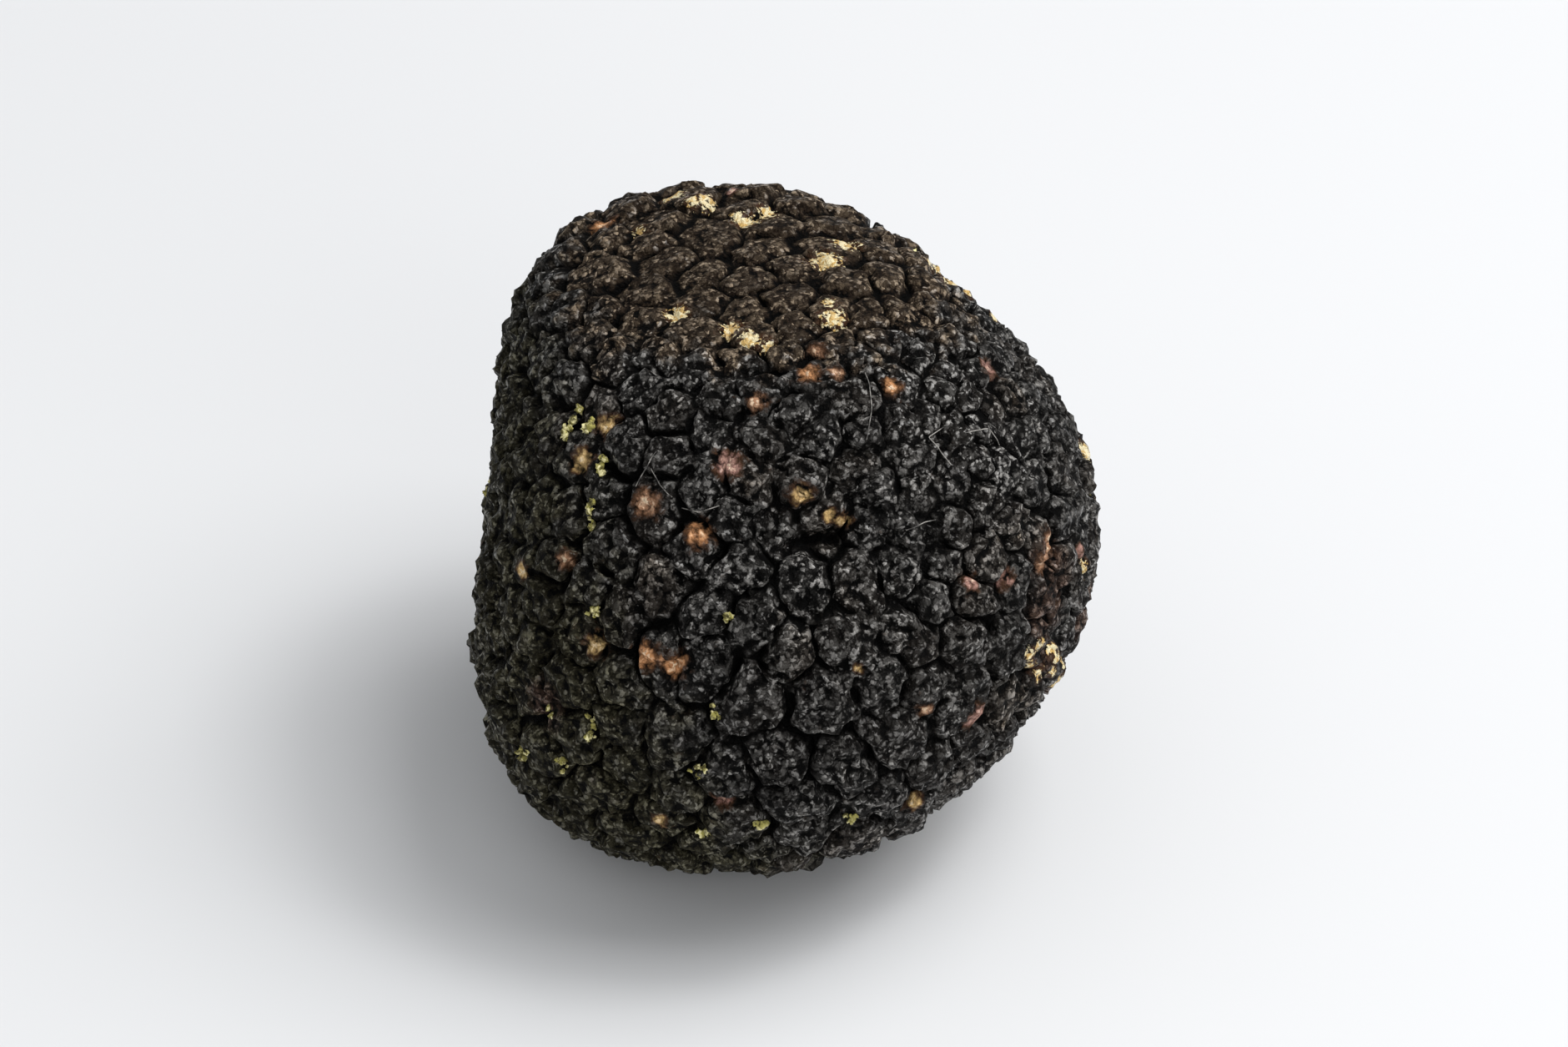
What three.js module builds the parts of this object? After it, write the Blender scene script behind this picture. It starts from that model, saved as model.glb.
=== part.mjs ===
// A black truffle as it is dug: one lumpy solid tuber, flattened on top, whose whole skin is broken
// into polygonal warts parted by narrow grooves. It rests on a small flat spot under its weight.
// Millimetres. +Z is up, the side seen first faces -Y, and the origin is under the middle of the
// truffle, on the surface that it rests on.
import * as THREE from "three";
import { ConvexHull } from "three/addons/math/ConvexHull.js";

// The tuber before its swellings and flats, from its centre outwards.
const HALF_WIDTH = 22.1;
const HALF_DEPTH = 24.9;
const HALF_HEIGHT = 22.2;
const MEAN_RADIUS = 23.5;

// The flat spot that the truffle rests on, and the flattened top, both nearer to its centre than the
// round form. The top counts only for directions that face it by more than leastFacing.
const FOOT_DROP = 21.5;
const TOP_FLAT = { toward: unit(-0.06, 0.04, 1), height: 20, softness: 4, leastFacing: 0.3 };

// Swellings and hollows of the tuber. rise is outwards, reach is how far along the skin it fades,
// and along is the way a long one runs, with acrossReach the other way.
const LOBES = [
  { name: "back left shoulder", toward: unit(-0.45, 0.52, 0.74), rise: 3.8, reach: 13 },
  { name: "left heel", toward: unit(-0.66, -0.55, -0.55), rise: 3.4, reach: 12 },
  { name: "left flat", toward: unit(-1, 0.05, 0.1), rise: -2.6, reach: 13 },
  { name: "right cheek", toward: unit(0.97, -0.1, 0.05), rise: 1.2, reach: 13 },
  { name: "lower front belly", toward: unit(0.12, -0.95, -0.28), rise: 1.6, reach: 12 },
  { name: "slope at the upper right", toward: unit(0.6, 0.45, 0.66), rise: -1.2, reach: 9 },
  { name: "back knob", toward: unit(0.45, 0.86, -0.1), rise: 2.4, reach: 9 },
  { name: "back dimple", toward: unit(-0.2, 0.97, 0.05), rise: -2.6, reach: 7 },
  { name: "lower back swelling", toward: unit(-0.4, 0.72, -0.55), rise: 1.8, reach: 10 },
  {
    name: "front hollow", toward: unit(0.1, -0.78, 0.6), rise: -1.5,
    reach: 13, along: unit(1, 0.1, 0), acrossReach: 7,
  },
  {
    name: "front cleft", toward: unit(0.17, -0.84, 0.51), rise: -2.2,
    reach: 6, along: unit(0.98, 0.17, 0), acrossReach: 2.4,
  },
  {
    name: "right back furrow", toward: unit(0.8, 0.5, 0.3), rise: -1.8,
    reach: 12, along: unit(-0.4, 0.2, 0.9), acrossReach: 4,
  },
];

// Warts. Their least spacing is larger on the front and on the flat top, and finer on the upper
// right and at the back.
const WART_SPACING = 2.75;
const WART_FIELDS = [
  { name: "large warts on the front", toward: unit(0.02, -0.97, -0.12), change: 1.05, reach: 15 },
  { name: "plates of the flat top", toward: unit(-0.05, 0.25, 0.95), change: 0.6, reach: 13 },
  { name: "fine warts on the upper right", toward: unit(0.52, -0.46, 0.72), change: -0.7, reach: 12 },
  { name: "fine warts at the back", toward: unit(-0.1, 0.95, -0.1), change: -0.45, reach: 14 },
];

// Wart relief. A crown's rise and a groove's depth are shares of the spacing, and rises differ from
// each other by their spread. In the middle of the flat top both have only its share of that.
const WART_RISE = 0.32;
const WART_GROOVE = 0.2;
const RISE_SPREAD = 0.35;
const FLAT_TOP_RELIEF = 0.42;
const TOP_PATCH = { toward: unit(-0.05, 0.28, 0.95), reach: 14 };

// Wart outlines. Shoulders stand at a share of the way out to the groove corners, at a share of the
// crown's rise, and both differ by their spread. A crown may shift by a share of the way to a
// corner. A corner is balanced between the middle of its three warts and the point level with them.
const SHOULDER_PLACE = 0.68;
const SHOULDER_RISE = 0.78;
const SHOULDER_SPREAD = 0.12;
const CROWN_SHIFT = 0.16;
const CORNER_BALANCE = 0.6;

const LAYOUT_SEED = 4171;
const LAYOUT_TRIES = 40000;
const SKIN_COLOUR = 0x1c1917;

function unit(x, y, z) {
  return new THREE.Vector3(x, y, z).normalize();
}

// A small seeded generator of numbers from 0 to 1.
function seededRandom(seed) {
  let state = seed;
  return () => {
    state = (state + 0x6d2b79f5) | 0;
    let mixed = Math.imul(state ^ (state >>> 15), 1 | state);
    mixed = (mixed + Math.imul(mixed ^ (mixed >>> 7), 61 | mixed)) ^ mixed;
    return ((mixed ^ (mixed >>> 14)) >>> 0) / 2 ** 32;
  };
}

// How near a direction is to a place on the skin: 1 on it, fading to 0 past its reach.
function nearness(direction, { toward, reach, along, acrossReach = reach }) {
  const offset = direction.clone().sub(toward).multiplyScalar(MEAN_RADIUS);
  const lengthways = along ? offset.dot(along) : 0;
  const acrossSquared = offset.lengthSq() - lengthways ** 2;
  return Math.exp(-((lengthways / reach) ** 2) - acrossSquared / acrossReach ** 2);
}

function softMinimum(a, b, softness) {
  const overlap = Math.max(softness - Math.abs(a - b), 0) / softness;
  return Math.min(a, b) - (overlap ** 2 * softness) / 4;
}

// The smooth tuber's radius in one direction from its centre.
function tuberRadius(direction) {
  const { x, y, z } = direction;
  let radius = 1 / Math.hypot(x / HALF_WIDTH, y / HALF_DEPTH, z / HALF_HEIGHT);
  for (const lobe of LOBES) radius += lobe.rise * nearness(direction, lobe);
  const facing = direction.dot(TOP_FLAT.toward);
  if (facing <= TOP_FLAT.leastFacing) return radius;
  return softMinimum(radius, TOP_FLAT.height / facing, TOP_FLAT.softness);
}

// The skin's point in one direction, with the wart relief added, and never below the foot.
function skinPoint(direction, relief) {
  const point = direction.clone().multiplyScalar(tuberRadius(direction) + relief);
  const onFoot = point.z < -FOOT_DROP;
  if (onFoot) point.multiplyScalar(FOOT_DROP / -point.z);
  point.z = onFoot ? 0 : point.z + FOOT_DROP;
  return point;
}

function wartSpacing(direction) {
  return WART_FIELDS.reduce(
    (spacing, field) => spacing + field.change * nearness(direction, field),
    WART_SPACING,
  );
}

// How much of the full wart relief the skin has in one direction: less on the flat top.
function reliefShare(direction) {
  return 1 - (1 - FLAT_TOP_RELIEF) * nearness(direction, TOP_PATCH);
}

// Wart centres thrown at the tuber one by one, each kept only if it is clear of the others.
function layOutWarts(random) {
  const warts = [];
  for (let tried = 0; tried < LAYOUT_TRIES; tried++) {
    const z = 2 * random() - 1;
    const turn = 2 * Math.PI * random();
    const ring = Math.sqrt(1 - z * z);
    const direction = new THREE.Vector3(ring * Math.cos(turn), ring * Math.sin(turn), z);
    const place = direction.clone().multiplyScalar(tuberRadius(direction));
    const spacing = wartSpacing(direction);
    const clear = warts.every((other) => place.distanceTo(other.place) > (spacing + other.spacing) / 2);
    if (clear) warts.push({ direction, place, spacing, corners: new Map() });
  }
  return warts;
}

// Joins neighbouring warts in threes. Each three share one corner, where their grooves meet, and
// every wart keeps its corners by the neighbour before each, going round it.
function findCorners(warts) {
  const wartAt = new Map(warts.map((wart) => [wart.direction, wart]));
  const hull = new ConvexHull().setFromPoints(warts.map((wart) => wart.direction));
  return hull.faces.map((face) => {
    const three = [face.edge, face.edge.next, face.edge.prev];
    const around = three.map((edge) => wartAt.get(edge.head().point));
    const middle = new THREE.Vector3();
    for (const wart of around) middle.addScaledVector(wart.direction, 1 / around.length);
    const direction = middle.normalize().lerp(face.normal, CORNER_BALANCE).normalize();
    const spacing = around.reduce((sum, wart) => sum + wart.spacing, 0) / around.length;
    const corner = { direction, spacing };
    around.forEach((wart, i) => {
      wart.corners.set(around[(i + 1) % 3], { corner, next: around[(i + 2) % 3] });
    });
    return corner;
  });
}

// A wart's corners in order round it, anticlockwise seen from outside.
function cornersInOrder(wart) {
  const ordered = [];
  const start = wart.corners.keys().next().value;
  let neighbour = start;
  do {
    const { corner, next } = wart.corners.get(neighbour);
    ordered.push(corner);
    neighbour = next;
  } while (neighbour !== start);
  return ordered;
}

// The truffle's closed surface: a point in each groove corner, and over each wart a crown with a
// ring of shoulders round it.
function truffleGeometry() {
  const random = seededRandom(LAYOUT_SEED);
  const warts = layOutWarts(random);
  const corners = findCorners(warts);
  const points = [];
  const triangles = [];
  const addPoint = (direction, relief) => points.push(skinPoint(direction, relief)) - 1;
  const about = (spread) => 1 + spread * (2 * random() - 1);

  for (const corner of corners) {
    const depth = WART_GROOVE * corner.spacing * reliefShare(corner.direction);
    corner.point = addPoint(corner.direction, -depth);
  }
  for (const wart of warts) {
    const ring = cornersInOrder(wart);
    const rise = WART_RISE * wart.spacing * reliefShare(wart.direction) * about(RISE_SPREAD);
    const lean = ring[Math.floor(random() * ring.length)].direction;
    const crownPlace = wart.direction.clone().lerp(lean, CROWN_SHIFT * random()).normalize();
    const crown = addPoint(crownPlace, rise);
    const shoulders = ring.map((corner) => {
      const out = SHOULDER_PLACE * about(SHOULDER_SPREAD);
      const place = wart.direction.clone().lerp(corner.direction, out).normalize();
      return addPoint(place, rise * SHOULDER_RISE * about(SHOULDER_SPREAD));
    });
    ring.forEach((corner, i) => {
      const following = (i + 1) % ring.length;
      triangles.push(crown, shoulders[i], shoulders[following]);
      triangles.push(shoulders[i], corner.point, ring[following].point);
      triangles.push(shoulders[i], ring[following].point, shoulders[following]);
    });
  }

  const geometry = new THREE.BufferGeometry().setFromPoints(points).setIndex(triangles);
  geometry.computeBoundingBox();
  const middle = geometry.boundingBox.getCenter(new THREE.Vector3());
  geometry.translate(-middle.x, -middle.y, 0);
  geometry.computeVertexNormals();
  return geometry;
}

const skin = new THREE.MeshStandardMaterial({ color: SKIN_COLOUR, roughness: 0.85, metalness: 0 });
const truffle = new THREE.Mesh(truffleGeometry(), skin);
truffle.name = "truffle";

const part = new THREE.Group();
part.add(truffle);

export default part;
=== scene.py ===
# A whole black truffle on a pale table, seen from its front and a little above. The skin is the CAD
# tuber with its warts rounded and broken into finer bumps. Worn wart tips and gold flakes are in
# its colours, and crumbs of moss in its grooves and a few fine root fibres lie on it.
# Blender units are metres.
import math
import random

import bmesh
import bpy
from mathutils import Matrix, Vector, noise
from mathutils.bvhtree import BVHTree
from mathutils.kdtree import KDTree


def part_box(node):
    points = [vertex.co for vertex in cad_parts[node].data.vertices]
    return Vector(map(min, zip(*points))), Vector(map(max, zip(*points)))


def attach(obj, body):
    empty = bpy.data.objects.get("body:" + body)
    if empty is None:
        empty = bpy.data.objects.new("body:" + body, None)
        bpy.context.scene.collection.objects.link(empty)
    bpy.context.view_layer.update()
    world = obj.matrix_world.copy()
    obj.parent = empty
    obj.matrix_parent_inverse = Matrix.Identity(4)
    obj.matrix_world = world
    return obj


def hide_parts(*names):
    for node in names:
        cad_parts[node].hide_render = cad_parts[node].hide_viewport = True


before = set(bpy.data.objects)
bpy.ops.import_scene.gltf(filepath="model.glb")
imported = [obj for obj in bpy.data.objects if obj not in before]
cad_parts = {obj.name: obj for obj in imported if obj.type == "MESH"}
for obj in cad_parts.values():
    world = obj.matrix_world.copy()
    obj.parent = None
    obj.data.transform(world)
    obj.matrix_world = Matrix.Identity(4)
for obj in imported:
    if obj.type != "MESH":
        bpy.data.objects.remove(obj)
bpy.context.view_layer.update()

NODE = "truffle"
MM = 0.001
SEED = 11
low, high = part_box(NODE)
centre = (low + high) / 2

# The camera looks along +Y and down. The truffle fills FRAME_SHARE of the picture's height.
VIEW_ELEVATION = math.radians(35)
CAMERA_DISTANCE = 0.55
FRAME_SHARE = 0.66
IMAGE_WIDTH, IMAGE_HEIGHT = 1880, 1255
SENSOR_WIDTH = 36
toward_camera = Vector((0, -math.cos(VIEW_ELEVATION), math.sin(VIEW_ELEVATION)))
picture_right = Vector((1, 0, 0))
picture_up = toward_camera.cross(picture_right)

# Square area lights: metres from the truffle's centre, metres wide, and watts.
SOFTBOXES = {
    "overhead": {"offset": (0.45, 0.05, 0.7), "size": 0.7, "power": 5.6},
    "window": {"offset": (0.35, 0, 0.65), "size": 0.15, "power": 0.8},
    "front": {"offset": (0.35, -0.75, 0.3), "size": 0.6, "power": 2.1},
}
STUDIO_COLOUR = (0.97, 0.985, 1, 1)
STUDIO_STRENGTH = 0.5
TABLE_SIZE = 2

# How the CAD skin is read and split. Its loose triangles are merged, and its groove corners have
# nine edges. A level is 0 in the grooves and 1 on the crowns. TUBER_ROUNDS of smoothing take the
# warts off, and HOLLOW_ROUNDS only what stands out of its close surroundings. Edges longer than
# LONG_EDGE are split in each of the SPLIT_ROUNDS.
MERGE_DISTANCE = 0.005 * MM
CORNER_EDGES = 9
SHOULDER_LEVEL = 0.7
TUBER_ROUNDS = 30
HOLLOW_ROUNDS = 5
HOLLOW_SPAN = 0.16 * MM
LONG_EDGE = 0.63 * MM
SPLIT_ROUNDS = 2

# A wart's profile: how deep the groove stays, how steep its wall and its dome are, the dome's share
# of the two, and the height of the crown.
GROOVE_SHARE = 0.75
WALL_STEEPNESS = 4.5
DOME_STEEPNESS = 1.4
DOME_SHARE = 0.4
CROWN_RISE = 0.98

# Uneven warts: ragged outlines, grooves that are filled in patches on the upper sides, and grooves
# that wander, with a finer wander added.
RAGGED = 0.45
RAGGED_SCALE = 0.9 * MM
FILLED = 0.34
FILLED_SCALE = 2.4 * MM
FILLED_PATCHES = (-0.1, 0.4)
FILLED_UPWARDS = (-0.5, 0.5)
WANDER = 0.5 * MM
WANDER_SCALE = 2.1 * MM
FINE_WANDER = 0.6
FINE_WANDER_TIMES = 2.2

# Bumps on the warts, which are lower in the grooves, and clumps of them. Both are calmer on the
# flat top.
BUMP_SIZE = 1.2 * MM
BUMP_RISE = 0.5 * MM
BUMP_SWAY = 0.25 * MM
BUMP_EDGE = 0.42
BUMP_ROUNDNESS = 1.5
WART_LEVELS = (0.05, 0.5)
GROOVE_BUMPS = 0.25
CLUMP_SIZE = 0.8 * MM
CLUMP_RISE = 0.5 * MM
TOP_CALM = 0.7

# The flat top's plates and its earth, each from where it begins to where it is full, by how nearly
# a direction from the centre faces that way. The olive side is on the left and low down; the tops
# of its grains are painted darker there, as shade.
top_facing = Vector((-0.05, 0.25, 0.97)).normalized()
PLATES_FROM = (0.76, 0.92)
EARTH_FROM = (0.64, 0.96)
OLIVE_UP_TO = (-0.7, 0.1)
OLIVE_LEAN = 0.6

# The flat foot fades out over FOOT_BLEND. Grooves are left in it.
FOOT_BLEND = 0.5 * MM
FOOT_GROOVE = 0.45 * MM
FOOT_GROOVE_CURVE = 0.7

# The cleft in the front hollow, cut in and dark with painted shade: how far right of the picture's
# middle and how far up it is, half its length and width, its depth and how far it is turned from
# the level.
CLEFT = {
    "across": 2.7 * MM, "up": -1.3 * MM, "half_length": 2.4 * MM,
    "half_width": 0.7 * MM, "depth": 1.7 * MM, "turn": math.radians(12),
}
cleft_along = picture_right * math.cos(CLEFT["turn"]) + picture_up * math.sin(CLEFT["turn"])
cleft_across = toward_camera.cross(cleft_along)

# Worn wart tips on the side seen: millimetres right of the picture's middle and up from it, the
# radius of the worn spot and its colour.
WORN_TIPS = [
    (2.2, 12.4, 0.6, "tan"), (1.7, 10.9, 0.7, "orange"), (4.0, 11.1, 0.5, "tan"),
    (7.8, 9.9, 0.7, "orange"), (-2.0, 8.8, 0.7, "tan"), (-12.8, 7.0, 0.8, "ochre"),
    (-14.6, 4.5, 0.8, "ochre"), (-10.0, 1.5, 0.9, "tan"), (-6.1, -0.5, 0.9, "orange"),
    (-4.1, 4.4, 0.9, "rose"), (1.3, 1.8, 0.8, "ochre"), (4.5, 0.2, 0.6, "ochre"),
    (19.4, -1.6, 0.9, "tan"), (18.8, -3.0, 0.7, "tan"), (21.5, -2.1, 0.5, "rose"),
    (15.8, -3.9, 0.7, "rose"), (13.5, -4.1, 0.6, "rose"), (-13.6, -9.0, 0.8, "ochre"),
    (-10.3, -9.5, 0.9, "orange"), (-7.8, -10.2, 0.9, "orange"), (5.5, -10.7, 0.4, "ochre"),
    (-4.4, -20.1, 0.7, "rose"), (9.4, -20.1, 0.7, "ochre"), (14.1, -14.2, 0.9, "rose"),
    (-9.1, -21.6, 0.6, "ochre"), (14.9, 11.3, 0.7, "rose"), (-19.0, -3.5, 0.6, "ochre"),
    (-15.7, -2.7, 0.7, "tan"), (10.2, -13.6, 0.5, "tan"), (3.3, 0.7, 0.5, "ochre"),
]
# In the same measures, patches of gold flakes on the flat top, its ridge and the right edge.
GOLD_PATCHES = [
    (-8.0, 23.8, 0.8), (-6.6, 23.7, 0.6), (-5.6, 23.5, 0.8), (-2.9, 21.9, 0.9), (-1.3, 22.6, 0.7),
    (-10.6, 21.1, 0.7), (4.5, 20.4, 1.0), (3.0, 19.1, 1.1), (10.6, 19.0, 0.5), (11.3, 18.6, 0.5),
    (12.4, 17.5, 0.8), (13.4, 16.7, 0.5), (14.2, 16.0, 0.4), (15.3, 15.1, 0.5), (-7.8, 15.1, 0.8),
    (-3.8, 14.0, 0.8), (-2.4, 13.4, 0.7), (-1.1, 12.8, 0.6), (3.6, 15.0, 0.9), (3.3, 16.1, 0.5),
    (21.9, -3.2, 0.6), (20.3, -10.2, 0.5), (20.0, -11.4, 0.5), (19.5, -12.6, 0.4),
]
# A ring of gold round a chip at the right edge.
GOLD_RING = {"across": 18.9, "up": -9.9, "radius": 1.05, "flakes": 7, "flake_radius": 0.5}
# In the same measures, rusty stains, and places where the fine grains of the skin are glossier and
# carry painted glints.
STAINS = [(19.7, -6.0, 2.3), (19.2, -2.4, 1.5), (18.8, -10.2, 1.2), (-17.5, -13.0, 1.5)]
GLOSS_AND_GLINT_PLACES = [(11.0, 11.5, 4.5), (-9.0, 11.5, 3.2), (15.5, 5.0, 2.6), (2.5, -3.5, 2.2)]
# Crumbs of yellow-green moss in the grooves.
CRUMB_PLACES = [
    (-4.5, -6.9), (-5.2, -13.7), (-14.0, -13.9), (-14.4, -15.9), (-16.8, -17.8), (-17.0, -13.8),
    (-5.9, -18.3), (-5.5, -22.6), (-3.1, -21.8), (4.5, -21.5), (-19.1, -16.8), (-18.0, -17.3),
    (-12.9, 4.0), (-14.1, 1.4), (-14.2, 0.0), (-16.6, 7.2), (-15.3, 7.6), (-14.3, 7.3),
    (-16.0, 6.5), (-13.9, -6.5),
]
# Root fibres caught on the warts: the places that each runs through.
FIBRES = [
    [(-10.8, 2.7), (-9.9, 4.2), (-9.2, 5.4)], [(-9.7, 4.0), (-9.0, 2.8), (-8.0, 1.8)],
    [(-4.7, 1.3), (-6.2, 0.8), (-7.7, 1.2)], [(11.6, 7.0), (10.4, 6.2), (11.2, 5.0), (12.3, 4.2)],
    [(13.2, 6.6), (14.8, 6.9), (16.0, 5.6)], [(8.9, -0.5), (10.2, 0.1), (11.3, 0.3)],
    [(5.9, 11.0), (6.3, 8.2), (5.8, 5.6)],
]
# Marks fade out at this many times their radius, and a worn tip moves by this share of the way to
# the crown beside it.
PAINT_REACH = 2.0
TIP_PULL = 0.12

# Marks on the sides that the first view doesn't show, as on the side that it does: how many there
# are, and the radii that they are drawn from, in millimetres. They face the camera by less than
# HIDDEN_FACING, and are over LEAST_HEIGHT above the table.
HIDDEN_MARKS = {
    "worn": {"count": 42, "radii": (0.5, 0.9)},
    "gold": {"count": 18, "radii": (0.5, 1.1)},
    "stained": {"count": 6, "radii": (1.2, 2.4)},
    "gloss_and_painted_glint": {"count": 7, "radii": (2.2, 4.2)},
}
HIDDEN_CRUMBS = 26
HIDDEN_FIBRES = 6
HIDDEN_FACING = 0.1
LEAST_HEIGHT = 1.5 * MM

# A crumb is a few lumps, spread round a place in a groove with a level between these two. Their
# radii are in millimetres. Lumps are squashed two ways, stand out of the groove by a share of their
# radius and are rough by another share of it.
CRUMB_LEVELS = (0.25, 0.5)
CRUMB_LUMPS = (4, 8)
CRUMB_RADII = (0.12, 0.36)
CRUMB_SPREAD = 0.27 * MM
CRUMB_WIDTHS = (0.6, 1)
CRUMB_HEIGHTS = (0.5, 0.9)
CRUMB_STAND = 0.5
CRUMB_ROUGHNESS = 0.8
CRUMB_GRAIN = 0.14 * MM

# A fibre has FIBRE_STEPS points to each stretch of its route. A hidden one has FIBRE_STRIDES
# stretches of about FIBRE_STRIDE millimetres, each bent at random.
FIBRE_RADIUS = 0.035 * MM
FIBRE_STEPS = 8
FIBRE_STRIDES = 2
FIBRE_STRIDE = 1.6
FIBRE_BEND = 0.4

# Colours of the worn tips, the skin, the moss, the fibres and the table, as linear red, green and
# blue.
SPOT_COLOURS = {
    "orange": (0.9, 0.43, 0.19),
    "tan": (0.62, 0.34, 0.2),
    "ochre": (0.95, 0.64, 0.27),
    "rose": (0.7, 0.39, 0.32),
}
# The groove colour below is painted shade, for the grooves and hollows.
GROOVE_SHADE = (0.0012, 0.0011, 0.001)
WART_BLACK = (0.0062, 0.0057, 0.0052)
WART_BROWN = (0.0115, 0.0085, 0.0062)
OLIVE_BROWN = (0.0125, 0.0108, 0.0055)
EARTH_BROWN = (0.021, 0.0136, 0.0086)
STAIN_BROWN = (0.022, 0.0125, 0.0092)
# The crest colours below are grey dust and painted highlights on the tops of the grains.
CREST_GREY = (0.33, 0.315, 0.295)
CREST_BROWN = (0.34, 0.255, 0.17)
# The olive crest colour is darker, as painted shade on the lower left.
SHADED_CREST_OLIVE = (0.19, 0.175, 0.11)
CREST_RUST = (0.24, 0.15, 0.105)
SCAR_BROWN = (0.06, 0.028, 0.014)
PALE_TIP = (1.0, 0.84, 0.6)
DEEP_GOLD = (0.74, 0.49, 0.18)
PALE_GOLD = (1.0, 0.87, 0.55)
MOSS_DARK = (0.07, 0.058, 0.012)
MOSS_GREEN = (0.4, 0.36, 0.09)
MOSS_PALE = (0.85, 0.78, 0.42)
FIBRE_DARK = (0.05, 0.046, 0.042)
FIBRE_LIGHT = (0.36, 0.34, 0.31)
TABLE_GREY = (0.74, 0.745, 0.76)
TABLE_PALE = (0.78, 0.785, 0.79)

# Sizes of the skin's granules, and of the sway that makes their outlines uneven.
GRANULE = 0.62 * MM
FINE_GRANULE = 0.27 * MM
GRANULE_SWAY = 0.45 * MM


def share_between(start, end, value):
    """0 below start and 1 above end, with a smooth rise between them."""
    share = min(max((value - start) / (end - start), 0), 1)
    return share * share * (3 - 2 * share)


def mean(values):
    values = list(values)
    return sum(values) / len(values)


def random_vector(chance, spread):
    return Vector([chance.gauss(0, spread) for _ in range(3)])


def on_flat_top(outward):
    """How far a direction from the centre is on the flat top: 1 on it, 0 off it."""
    return share_between(*PLATES_FROM, outward.dot(top_facing))


def on_foot(place):
    """How far a place is on the flat foot: 1 on it, fading to 0 a little higher."""
    return 1 - share_between(0, FOOT_BLEND, place.z - low.z)


def smooth_rounds(bm, rounds):
    for _ in range(rounds):
        bmesh.ops.smooth_vert(
            bm, verts=bm.verts, factor=0.5, use_axis_x=True, use_axis_y=True, use_axis_z=True
        )


def add_object(name, bm, material):
    """Makes an object from a bmesh, which is used up."""
    mesh = bpy.data.meshes.new(name)
    bm.to_mesh(mesh)
    bm.free()
    mesh.shade_smooth()
    mesh.materials.append(material)
    made = bpy.data.objects.new(name, mesh)
    bpy.context.scene.collection.objects.link(made)
    return made


def read_warts(bm):
    """Says of each vertex of the CAD skin how high it is on its wart, and how high its wart is.

    A corner, where the grooves of three warts meet, has nine edges, some to other corners. The
    other neighbours of a corner are shoulders, and what has no corner beside it is a crown.
    Returns the crowns' places.
    """
    layers = bm.verts.layers.float
    level, groove, shoulder, base, tone = (
        layers.new(name) for name in ("level", "groove", "shoulder", "base", "tone")
    )
    even = bm.copy()
    smooth_rounds(even, TUBER_ROUNDS)
    even.verts.ensure_lookup_table()
    for vert in bm.verts:
        vert[base] = (even.verts[vert.index].co - centre).length
    even.free()

    around = {vert: [edge.other_vert(vert) for edge in vert.link_edges] for vert in bm.verts}
    many = {vert for vert in bm.verts if len(around[vert]) == CORNER_EDGES}
    corners = {vert for vert in many if any(other in many for other in around[vert])}
    relief = {vert: (vert.co - centre).length - vert[base] for vert in bm.verts}
    crowns = [v for v in bm.verts if v not in corners and not corners.intersection(around[v])]
    chance = random.Random(SEED)
    for crown in crowns:
        own_shoulders = around[crown]
        own_corners = {v for near in own_shoulders for v in around[near] if v in corners}
        crown[level] = 1
        crown[tone] = chance.random()
        crown[groove] = mean(relief[v] for v in own_corners)
        crown[shoulder] = mean([relief[v] for v in own_shoulders] + [relief[crown]])
        for near in own_shoulders:
            near[level] = SHOULDER_LEVEL
            near[tone] = crown[tone]
            near[groove] = crown[groove]
            near[shoulder] = crown[shoulder]
    for corner in corners:
        near = [v for v in around[corner] if v not in corners]
        corner[tone] = mean(v[tone] for v in near)
        corner[groove] = relief[corner]
        corner[shoulder] = mean(v[shoulder] for v in near)
    return [crown.co.copy() for crown in crowns]


def wart_height(level):
    """A wart's profile: 0 in the groove, a steep wall, a low dome, and CROWN_RISE on its crown."""
    wall = 1 - (1 - level) ** WALL_STEEPNESS
    dome = 1 - (1 - level) ** DOME_STEEPNESS
    return CROWN_RISE * (wall + (dome - wall) * DOME_SHARE)


def level_change(place, outward):
    """How far a place is raised towards its crown's level, as a share, or lowered if negative."""
    ragged = RAGGED * noise.noise(place / RAGGED_SCALE)
    filled = FILLED * share_between(*FILLED_UPWARDS, outward.z) * (1 - on_flat_top(outward))
    return ragged + filled * share_between(*FILLED_PATCHES, noise.noise(place / FILLED_SCALE))


def refine_skin(bm):
    """Splits the skin finer, and rounds the warts and their outlines."""
    layers = bm.verts.layers.float
    level, groove, shoulder, base = (
        layers[name] for name in ("level", "groove", "shoulder", "base")
    )
    bmesh.ops.subdivide_edges(bm, edges=bm.edges, cuts=1, use_grid_fill=True)
    for _ in range(SPLIT_ROUNDS):
        long_edges = [edge for edge in bm.edges if edge.calc_length() > LONG_EDGE]
        bmesh.ops.subdivide_edges(bm, edges=long_edges, cuts=1)
        bmesh.ops.triangulate(bm, faces=bm.faces, quad_method="SHORT_EDGE")
    for vert in bm.verts:
        outward = (vert.co - centre).normalized()
        raised = vert[level] + level_change(vert.co, outward) * (1 - vert[level])
        vert[level] = min(max(raised, 0), 1)
        low_point = vert[groove] * GROOVE_SHARE
        height = low_point + (vert[shoulder] - low_point) * wart_height(vert[level])
        rounded = centre + outward * (vert[base] + height)
        vert.co = rounded.lerp(vert.co, on_foot(vert.co))
    smooth_rounds(bm, 1)


def tint_sides(bm):
    """Says of each vertex how far it has the flat top's earth and the olive of the lower left,
    where the grain tops are painted darker as shade.
    """
    earth = bm.verts.layers.float.new("earth")
    olive = bm.verts.layers.float.new("olive")
    for vert in bm.verts:
        outward = (vert.co - centre).normalized()
        vert[earth] = share_between(*EARTH_FROM, outward.dot(top_facing))
        vert[olive] = 1 - share_between(*OLIVE_UP_TO, outward.x + OLIVE_LEAN * outward.z)


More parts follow.
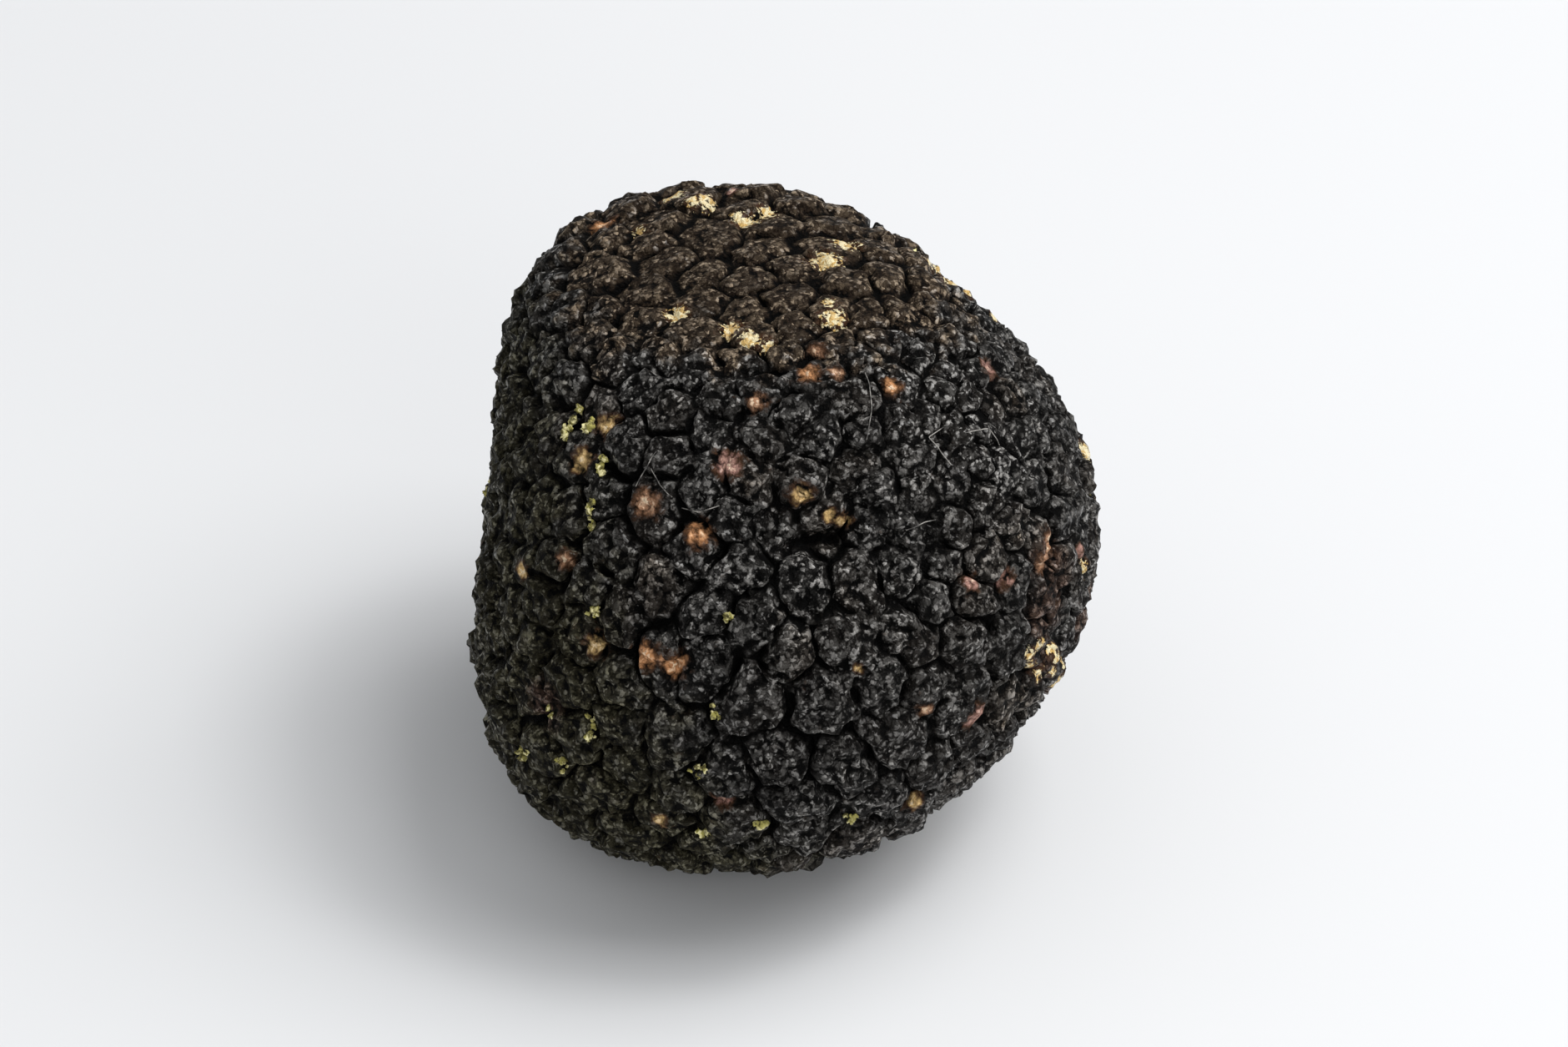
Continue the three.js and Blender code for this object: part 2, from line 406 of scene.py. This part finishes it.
def groove_sway(place, outward):
    """How far a place moves along the skin as the grooves wander."""
    sway = noise.noise_vector(place / WANDER_SCALE)
    sway += FINE_WANDER * noise.noise_vector(place / WANDER_SCALE * FINE_WANDER_TIMES)
    sway -= outward * sway.dot(outward)
    return sway * WANDER


def bump_lift(place, outward, level):
    """How far a place is lifted by bumps and clumps of them."""
    swayed = place + BUMP_SWAY * noise.noise_vector(place / BUMP_SIZE)
    nearest_bump = noise.voronoi(swayed / BUMP_SIZE)[0][0]
    share = GROOVE_BUMPS + (1 - GROOVE_BUMPS) * share_between(*WART_LEVELS, level)
    lift = BUMP_RISE * (BUMP_EDGE - nearest_bump**BUMP_ROUNDNESS) * share
    lift += CLUMP_RISE * noise.noise(place / CLUMP_SIZE)
    return lift * (1 - TOP_CALM * on_flat_top(outward))


def in_cleft(offset, outward):
    """How far a place at that offset from the cleft's middle is in it, on the side seen."""
    along = offset.dot(cleft_along) / CLEFT["half_length"]
    across = offset.dot(cleft_across) / CLEFT["half_width"]
    return math.exp(-(along**4) - across**2) * (outward.dot(toward_camera) > 0)


def roughen_skin(bm, cleft_place):
    """Sways the grooves, raises bumps on the warts, cuts the cleft and keeps the foot flat."""
    level = bm.verts.layers.float["level"]
    for vert in bm.verts:
        place = vert.co.copy()
        outward = (place - centre).normalized()
        foot = on_foot(place)
        cleft = in_cleft(place - cleft_place, outward)
        lift = bump_lift(place, outward, vert[level]) - CLEFT["depth"] * cleft
        # A level of 0 gives the cleft the painted groove shade.
        vert[level] *= 1 - cleft
        vert.co = place + (groove_sway(place, outward) + outward * lift) * (1 - foot)
        sole = low.z + FOOT_GROOVE * (1 - min(wart_height(vert[level]), 1)) ** FOOT_GROOVE_CURVE
        vert.co.z = max(vert.co.z, low.z)
        vert.co.z += (sole - vert.co.z) * foot


def read_hollows(bm):
    """Says of each vertex how far it stands above (over 0.5) or below its close surroundings."""
    hollow = bm.verts.layers.float.new("hollow")
    even = bm.copy()
    smooth_rounds(even, HOLLOW_ROUNDS)
    even.verts.ensure_lookup_table()
    for vert in bm.verts:
        stand = (vert.co - even.verts[vert.index].co).dot((vert.co - centre).normalized())
        vert[hollow] = min(max(0.5 + stand / HOLLOW_SPAN, 0), 1)
    even.free()


def picture_outline(bm):
    """The middle of the truffle's outline as the camera sees it, and the outline's height."""
    ups = [(vert.co - centre).dot(picture_up) for vert in bm.verts]
    rights = [(vert.co - centre).dot(picture_right) for vert in bm.verts]
    up = (min(ups) + max(ups)) / 2
    right = (min(rights) + max(rights)) / 2
    return centre + picture_right * right + picture_up * up, max(ups) - min(ups)


def seen_place(tree, middle, across, up):
    """The place on the skin that the camera sees this far right of the middle and above it.

    Where the camera sees past the skin there, it is the place on the skin nearest to that.
    """
    eye = middle + toward_camera * CAMERA_DISTANCE
    through = middle + picture_right * across + picture_up * up
    hit = tree.ray_cast(eye, (through - eye).normalized())[0]
    return hit or tree.find_nearest(through)[0]


def hidden_place(tree, chance):
    """A random place on the skin that hardly faces the camera and isn't under the truffle."""
    while True:
        outward = random_vector(chance, 1).normalized()
        hit = tree.ray_cast(centre, outward)[0]
        if outward.dot(toward_camera) < HIDDEN_FACING and hit.z > low.z + LEAST_HEIGHT:
            return hit


def points_tree(points):
    tree = KDTree(len(points))
    for index, point in enumerate(points):
        tree.insert(point, index)
    tree.balance()
    return tree


def gold_ring_patches():
    patches = []
    for flake in range(GOLD_RING["flakes"]):
        turn = math.tau * flake / GOLD_RING["flakes"]
        across = GOLD_RING["across"] + GOLD_RING["radius"] * math.cos(turn)
        up = GOLD_RING["up"] + GOLD_RING["radius"] * math.sin(turn)
        patches.append((across, up, GOLD_RING["flake_radius"]))
    return patches


def mark_skin(bm, tree, middle, crowns):
    """Writes the worn tips, gold, stains and the glossy places with painted glints to the skin's
    vertices.
    """
    layers = {name: bm.verts.layers.float.new(name) for name in HIDDEN_MARKS}
    worn_colour = bm.verts.layers.float_color.new("worn_colour")
    chance = random.Random(SEED)
    crown_tree = points_tree(crowns)
    vert_tree = points_tree([vert.co for vert in bm.verts])
    bm.verts.ensure_lookup_table()

    def paint(name, place, radius, colour=None):
        layer = layers[name]
        reach = radius * PAINT_REACH * MM
        for _, index, distance in vert_tree.find_range(place, reach):
            vert = bm.verts[index]
            strength = 1 - distance / reach
            if strength > vert[layer]:
                vert[layer] = strength
                if colour:
                    vert[worn_colour] = (*SPOT_COLOURS[colour], 1)

    tips = [(seen_place(tree, middle, x * MM, y * MM), r, c) for x, y, r, c in WORN_TIPS]
    for _ in range(HIDDEN_MARKS["worn"]["count"]):
        colour = chance.choice(sorted(SPOT_COLOURS))
        place = hidden_place(tree, chance)
        tips.append((place, chance.uniform(*HIDDEN_MARKS["worn"]["radii"]), colour))
    for place, radius, colour in tips:
        paint("worn", place.lerp(crown_tree.find(place)[0], TIP_PULL), radius, colour)

    gold_patches = GOLD_PATCHES + gold_ring_patches()
    for name, seen in (("gold", gold_patches), ("stained", STAINS), ("gloss_and_painted_glint", GLOSS_AND_GLINT_PLACES)):
        for across, up, radius in seen:
            paint(name, seen_place(tree, middle, across * MM, up * MM), radius)
        for _ in range(HIDDEN_MARKS[name]["count"]):
            place = hidden_place(tree, chance)
            paint(name, place, chance.uniform(*HIDDEN_MARKS[name]["radii"]))


def add_lump(crumbs, spot, outward, chance):
    """Adds a rough lump of moss close to a spot on the skin."""
    radius = chance.uniform(*CRUMB_RADII) * MM
    shift = random_vector(chance, CRUMB_SPREAD)
    shift -= outward * shift.dot(outward)
    spun = Matrix.Rotation(chance.uniform(0, math.tau), 4, outward)
    width = chance.uniform(*CRUMB_WIDTHS)
    height = chance.uniform(*CRUMB_HEIGHTS)
    squashed = Matrix.Diagonal((1, width, height, 1))
    where = Matrix.Translation(spot + shift + outward * CRUMB_STAND * radius)
    lump = bmesh.ops.create_icosphere(
        crumbs, subdivisions=2, radius=radius, matrix=where @ spun @ squashed
    )
    for vert in lump["verts"]:
        out = (vert.co - spot - shift).normalized()
        vert.co += out * radius * CRUMB_ROUGHNESS * noise.noise(vert.co / CRUMB_GRAIN)


def crumbs_mesh(skin, tree, middle):
    """Crumbs of moss, each a few small rough lumps sunk a little into a groove."""
    chance = random.Random(SEED + 1)
    level = skin.verts.layers.float["level"]
    lowest, highest = CRUMB_LEVELS
    groove_tree = points_tree([vert.co for vert in skin.verts if lowest < vert[level] < highest])
    places = [seen_place(tree, middle, x * MM, y * MM) for x, y in CRUMB_PLACES]
    places += [hidden_place(tree, chance) for _ in range(HIDDEN_CRUMBS)]
    crumbs = bmesh.new()
    for place in places:
        spot = groove_tree.find(place)[0]
        outward = (spot - centre).normalized()
        for _ in range(chance.randint(*CRUMB_LUMPS)):
            add_lump(crumbs, spot, outward, chance)
    return crumbs


def hidden_route(tree, chance):
    """A random route, a little bent, that starts from a hidden place."""
    route = [hidden_place(tree, chance)]
    way = random_vector(chance, 1).normalized()
    for _ in range(FIBRE_STRIDES):
        bend = random_vector(chance, FIBRE_BEND)
        route.append(route[-1] + (way + bend) * FIBRE_STRIDE * MM)
    return route


def laid_on_skin(route, tree):
    """Points along a route, on the skin, and straight across its dents as a stretched fibre is."""
    ways = []
    for start, end in zip(route, route[1:]):
        ways += [start.lerp(end, step / FIBRE_STEPS) - centre for step in range(FIBRE_STEPS)]
    ways = [way.normalized() for way in ways]
    heights = [(tree.ray_cast(centre, way)[0] - centre).length for way in ways]
    for _ in range(2 * FIBRE_STEPS):
        for i in range(1, len(heights) - 1):
            heights[i] = max(heights[i], (heights[i - 1] + heights[i + 1]) / 2)
    return [centre + way * (height + FIBRE_RADIUS) for way, height in zip(ways, heights)]


def fibres_mesh(tree, middle):
    """Fine fibres stretched over the bumps of the skin, as one mesh."""
    chance = random.Random(SEED + 2)
    routes = [[seen_place(tree, middle, x * MM, y * MM) for x, y in route] for route in FIBRES]
    routes += [hidden_route(tree, chance) for _ in range(HIDDEN_FIBRES)]
    curve = bpy.data.curves.new("root_fibres", "CURVE")
    curve.dimensions = "3D"
    curve.bevel_depth = FIBRE_RADIUS
    curve.bevel_resolution = 1
    curve.resolution_u = 3
    curve.use_fill_caps = True
    for route in routes:
        places = laid_on_skin(route, tree)
        spline = curve.splines.new("NURBS")
        spline.points.add(len(places) - 1)
        spline.use_endpoint_u = True
        for point, place in zip(spline.points, places):
            point.co = (*place, 1)
    shaped = bpy.data.objects.new("root_fibres", curve)
    fibres = bmesh.new()
    fibres.from_mesh(bpy.data.meshes.new_from_object(shaped))
    bpy.data.objects.remove(shaped)
    return fibres


class Maths:
    """A shader socket. Each + - * or ** on it adds a Math node."""

    def __init__(self, finish, socket):
        self.finish = finish
        self.socket = socket

    def math(self, operation, *values):
        made = self.finish.node("ShaderNodeMath", {"operation": operation}, values)
        return Maths(self.finish, made.outputs["Value"])

    def __add__(self, other):
        return self.math("ADD", self, other)

    def __radd__(self, other):
        return self.math("ADD", other, self)

    def __sub__(self, other):
        return self.math("SUBTRACT", self, other)

    def __rsub__(self, other):
        return self.math("SUBTRACT", other, self)

    def __mul__(self, other):
        return self.math("MULTIPLY", self, other)

    def __rmul__(self, other):
        return self.math("MULTIPLY", other, self)

    def __pow__(self, other):
        return self.math("POWER", self, other)

    def over(self, start, end):
        """0 below start and 1 above end, with a smooth rise between them."""
        settings = {"interpolation_type": "SMOOTHSTEP"}
        sockets = {"Value": self, "From Min": start, "From Max": end, "To Min": 0, "To Max": 1}
        made = self.finish.node("ShaderNodeMapRange", settings, sockets)
        return Maths(self.finish, made.outputs["Result"])


class Finish:
    """A material under construction, with its shader and its nodes."""

    def __init__(self, name):
        self.material = bpy.data.materials.new(name)
        self.material.use_nodes = True
        self.tree = self.material.node_tree
        self.shader = self.tree.nodes["Principled BSDF"]

    def node(self, kind, settings, sockets):
        """Adds a node. Its settings come first, then the values or links of its sockets."""
        made = self.tree.nodes.new(kind)
        for name, value in settings.items():
            setattr(made, name, value)
        named = sockets.items() if isinstance(sockets, dict) else enumerate(sockets)
        for name, value in named:
            self.join(made.inputs[name], value)
        return made

    def join(self, socket, value):
        if isinstance(value, Maths):
            value = value.socket
        if isinstance(value, bpy.types.NodeSocket):
            self.tree.links.new(value, socket)
        else:
            socket.default_value = value

    def set(self, name, value):
        self.join(self.shader.inputs[name], value)

    def place(self):
        return self.node("ShaderNodeTexCoord", {}, {}).outputs["Object"]

    def attribute(self, name):
        made = self.node("ShaderNodeAttribute", {"attribute_name": name}, {})
        return Maths(self, made.outputs["Fac"])

    def attribute_colour(self, name):
        return self.node("ShaderNodeAttribute", {"attribute_name": name}, {}).outputs["Color"]

    def noise(self, place, size, detail=2.0, roughness=0.5):
        sockets = {"Vector": place, "Scale": 1 / size, "Detail": detail, "Roughness": roughness}
        made = self.node("ShaderNodeTexNoise", {}, sockets)
        return Maths(self, made.outputs["Fac"])

    def sway(self, place, size, amount):
        """The place moved about by up to half the amount, for patterns with uneven outlines."""
        sockets = {"Vector": place, "Scale": 1 / size, "Detail": 1.0}
        wave = self.node("ShaderNodeTexNoise", {}, sockets).outputs["Color"]
        middle = self.node("ShaderNodeVectorMath", {"operation": "SUBTRACT"}, (wave, (0.5,) * 3))
        sockets = {0: middle.outputs["Vector"], "Scale": amount}
        small = self.node("ShaderNodeVectorMath", {"operation": "SCALE"}, sockets)
        moved = self.node("ShaderNodeVectorMath", {}, (place, small.outputs["Vector"]))
        return moved.outputs["Vector"]

    def cells(self, place, size, output="Distance"):
        made = self.node("ShaderNodeTexVoronoi", {}, {"Vector": place, "Scale": 1 / size})
        return Maths(self, made.outputs[output])

    def mix(self, share, start, end):
        """A colour from start to end."""
        made = self.node("ShaderNodeMix", {"data_type": "RGBA"}, {})
        self.join(made.inputs["Factor"], share)
        start_socket, end_socket = (s for s in made.inputs if s.type == "RGBA")
        self.join(start_socket, (*start, 1) if isinstance(start, tuple) else start)
        self.join(end_socket, (*end, 1) if isinstance(end, tuple) else end)
        return next(s for s in made.outputs if s.type == "RGBA")


class SkinFinish(Finish):
    """The finish of the skin, with the patterns that its colours, gloss and relief share."""

    def __init__(self):
        super().__init__("truffle_skin")
        place = self.place()
        swayed = self.sway(place, GRANULE_SWAY, GRANULE_SWAY)
        self.broad = self.noise(place, 9 * MM)
        self.patch = self.noise(place, 2.6 * MM)
        self.mottle = self.noise(place, 0.9 * MM, detail=3)
        self.granule = 1 - 1.25 * self.cells(swayed, GRANULE)
        self.granule_tone = self.cells(swayed, GRANULE, output="Color")
        self.fine_tone = self.cells(swayed, FINE_GRANULE, output="Color")
        fine_granule = 1 - 1.25 * self.cells(swayed, FINE_GRANULE)
        speckle = self.noise(place, 0.12 * MM, roughness=0.7)
        self.rough = 0.55 * self.granule + 0.35 * fine_granule + 0.5 * (speckle - 0.5)

        level = self.attribute("level")
        hollow = self.attribute("hollow")
        # The crest is the tops of the grains: they take painted highlights in the colour, and more
        # gloss.
        self.crest = (self.rough + 0.25 * (hollow - 0.5)).over(0.22, 0.58) * level.over(0.08, 0.4)
        # Where depth is 0, in the grooves and hollows, the colour is painted shade.
        self.depth = level.over(0.0, 0.3) * (0.5 * hollow + self.rough).over(0.25, 0.6)
        self.earth = self.attribute("earth")
        self.gloss_and_painted_glint = self.attribute("gloss_and_painted_glint").over(0, 0.6)
        self.gilt = self.attribute("gold")
        flake = self.noise(swayed, 0.36 * MM, detail=3, roughness=0.6)
        flakes = (1.1 * self.gilt + 2.0 * flake - 1.52).over(0.0, 0.12)
        self.gold = flakes * self.gilt.over(0.0, 0.1)

    def bare_skin(self):
        """Painted shade in the grooves and hollows, and dark warts with browner, olive, earthy and
        rusty ones, under grey dust and painted highlights on the grain tops.
        """
        patch = self.patch - 0.5
        mottle = self.mottle - 0.5
        brown = (0.6 * self.attribute("tone") + 0.8 * self.broad - 0.35).over(0.1, 0.9)
        olive = (self.attribute("olive") + patch + 0.5 * mottle).over(0.2, 0.9)
        earthy = (self.earth + 1.4 * patch + 0.8 * mottle).over(0.2, 0.8)
        rusty = (self.attribute("stained") + 0.8 * patch + 0.5 * mottle).over(0.2, 0.7)
        colour = self.mix(brown, WART_BLACK, WART_BROWN)
        colour = self.mix(olive, colour, OLIVE_BROWN)
        colour = self.mix(earthy, colour, EARTH_BROWN)
        colour = self.mix(rusty, colour, STAIN_BROWN)
        crest_dust_and_highlight_colour = self.mix((0.7 * brown + earthy).over(0.2, 1.1), CREST_GREY, CREST_BROWN)
        crest_dust_and_highlight_colour = self.mix(olive * (1 - earthy), crest_dust_and_highlight_colour, SHADED_CREST_OLIVE)
        crest_dust_and_highlight_colour = self.mix(rusty, crest_dust_and_highlight_colour, CREST_RUST)
        # The grey on the crests is partly dust and partly painted highlight.
        dust_and_painted_highlight = 0.03 + 0.2 * self.granule_tone**2 + 1.2 * self.fine_tone**3
        dust_and_painted_highlight = dust_and_painted_highlight * (0.5 + self.patch.over(0.3, 0.7))
        # Bright specks in the glossy places are painted glints.
        dust_and_painted_highlight = dust_and_painted_highlight + 1.6 * (self.gloss_and_painted_glint * self.fine_tone**5)
        dust_and_painted_highlight = dust_and_painted_highlight + 1.2 * (earthy * self.fine_tone.over(0.78, 0.86))
        colour = self.mix(self.crest * dust_and_painted_highlight, colour, crest_dust_and_highlight_colour)
        return self.mix(self.depth, GROOVE_SHADE, colour)

    def worn(self, colour):
        """Worn tips over a colour, each a brown scar with a brighter middle and pale grains."""
        scar = self.attribute("worn") + 0.7 * (self.mottle - 0.5) + 0.3 * (self.granule - 0.4)
        colour = self.mix((scar + self.gilt).over(0.15, 0.5) * self.depth, colour, SCAR_BROWN)
        bright = scar.over(0.4, 0.85) * (0.55 * self.rough.over(0.0, 0.5) + 0.75 * self.fine_tone)
        pale = 0.8 * (scar.over(0.6, 1.0) * self.fine_tone.over(0.35, 0.7))
        tip_colour = self.mix(pale, self.attribute_colour("worn_colour"), PALE_TIP)
        return self.mix(bright, colour, tip_colour)

    def gilded(self, colour):
        """Gold flakes over a colour."""
        gold_colour = self.mix(self.fine_tone.over(0.25, 0.6), DEEP_GOLD, PALE_GOLD)
        return self.mix(self.gold, colour, gold_colour)


def skin_finish():
    finish = SkinFinish()
    finish.set("Base Color", finish.gilded(finish.worn(finish.bare_skin())))
    finish.set("Roughness", 0.6 - 0.2 * finish.crest + 0.12 * finish.earth - 0.15 * finish.gold)
    shine = finish.crest * finish.fine_tone.over(0.55, 0.75)
    finish.set("Coat Weight", shine * (0.7 + 0.3 * finish.gloss_and_painted_glint))
    finish.set("Coat Roughness", 0.28)
    finish.set("Specular IOR Level", 0.06)
    height = finish.rough + 0.5 * finish.gold
    bump = finish.node("ShaderNodeBump", {}, {"Height": height, "Distance": 0.45 * MM})
    finish.set("Normal", bump.outputs["Normal"])
    return finish.material


def crumb_finish():
    finish = Finish("moss_crumb")
    place = finish.place()
    mottle = finish.noise(place, 0.45 * MM, detail=4, roughness=0.7)
    grain_tone = finish.cells(place, 0.3 * MM, output="Color")
    colour = finish.mix(mottle.over(0.38, 0.6), MOSS_DARK, MOSS_GREEN)
    colour = finish.mix(grain_tone.over(0.5, 0.75) * mottle.over(0.4, 0.55), colour, MOSS_PALE)
    finish.set("Base Color", colour)
    finish.set("Roughness", 0.8 - 0.1 * mottle)
    return finish.material


def fibre_finish():
    finish = Finish("root_fibre")
    mottle = finish.noise(finish.place(), 0.6 * MM)
    finish.set("Base Color", finish.mix(mottle.over(0.35, 0.65), FIBRE_DARK, FIBRE_LIGHT))
    finish.set("Roughness", 0.5 + 0.2 * mottle)
    return finish.material


def table_finish():
    finish = Finish("table")
    shade = finish.noise(finish.place(), 0.25)
    finish.set("Base Color", finish.mix(shade, TABLE_GREY, TABLE_PALE))
    finish.set("Roughness", 0.7 - 0.1 * shade)
    return finish.material


def shape_skin():
    """Makes the skin's bmesh. Returns it with the crowns' places and the outline in the picture."""
    # Without a seed, noise_vector differs from one run to the next.
    noise.seed_set(SEED)
    bm = bmesh.new()
    bm.from_mesh(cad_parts[NODE].data)
    bmesh.ops.remove_doubles(bm, verts=bm.verts, dist=MERGE_DISTANCE)
    bm.verts.index_update()
    crowns = read_warts(bm)
    refine_skin(bm)
    middle, outline_height = picture_outline(bm)
    tint_sides(bm)
    cleft_place = seen_place(BVHTree.FromBMesh(bm), middle, CLEFT["across"], CLEFT["up"])
    roughen_skin(bm, cleft_place)
    bm.verts.index_update()
    read_hollows(bm)
    return bm, crowns, middle, outline_height


def add_truffle():
    """Adds the skin, the crumbs and the fibres. Returns the outline's middle and height."""
    bm, crowns, middle, outline_height = shape_skin()
    tree = BVHTree.FromBMesh(bm)
    mark_skin(bm, tree, middle, crowns)
    crumbs = add_object("moss_crumbs", crumbs_mesh(bm, tree, middle), crumb_finish())
    fibres = add_object("root_fibres", fibres_mesh(tree, middle), fibre_finish())
    skin = add_object("truffle_skin", bm, skin_finish())
    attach(skin, "root")
    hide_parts(NODE)
    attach(crumbs, "root")
    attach(fibres, "root")
    return middle, outline_height


def add_table():
    bm = bmesh.new()
    bmesh.ops.create_grid(bm, x_segments=1, y_segments=1, size=TABLE_SIZE)
    add_object("table", bm, table_finish())


def add_camera(middle, outline_height):
    picture_height = outline_height / FRAME_SHARE
    camera = bpy.data.objects.new("camera", bpy.data.cameras.new("camera"))
    camera.data.sensor_width = SENSOR_WIDTH
    sensor_height = SENSOR_WIDTH * IMAGE_HEIGHT / IMAGE_WIDTH
    camera.data.lens = sensor_height * CAMERA_DISTANCE / picture_height
    camera.location = middle + toward_camera * CAMERA_DISTANCE
    camera.rotation_euler = toward_camera.to_track_quat("Z", "Y").to_euler()
    bpy.context.scene.collection.objects.link(camera)
    bpy.context.scene.camera = camera


def add_softbox(name, offset, size, power):
    """A square area light that far from the truffle, turned to it."""
    light = bpy.data.objects.new(name, bpy.data.lights.new(name, "AREA"))
    light.data.size = size
    light.data.energy = power
    light.location = centre + Vector(offset)
    light.rotation_euler = Vector(offset).to_track_quat("Z", "Y").to_euler()
    bpy.context.scene.collection.objects.link(light)


def light_studio():
    world = bpy.data.worlds.new("studio")
    world.use_nodes = True
    background = world.node_tree.nodes["Background"]
    background.inputs["Color"].default_value = STUDIO_COLOUR
    background.inputs["Strength"].default_value = STUDIO_STRENGTH
    bpy.context.scene.world = world
    for name, light in SOFTBOXES.items():
        add_softbox(name, **light)
    bpy.context.scene.view_settings.view_transform = "Standard"


middle, outline_height = add_truffle()
add_table()
add_camera(middle, outline_height)
light_studio()
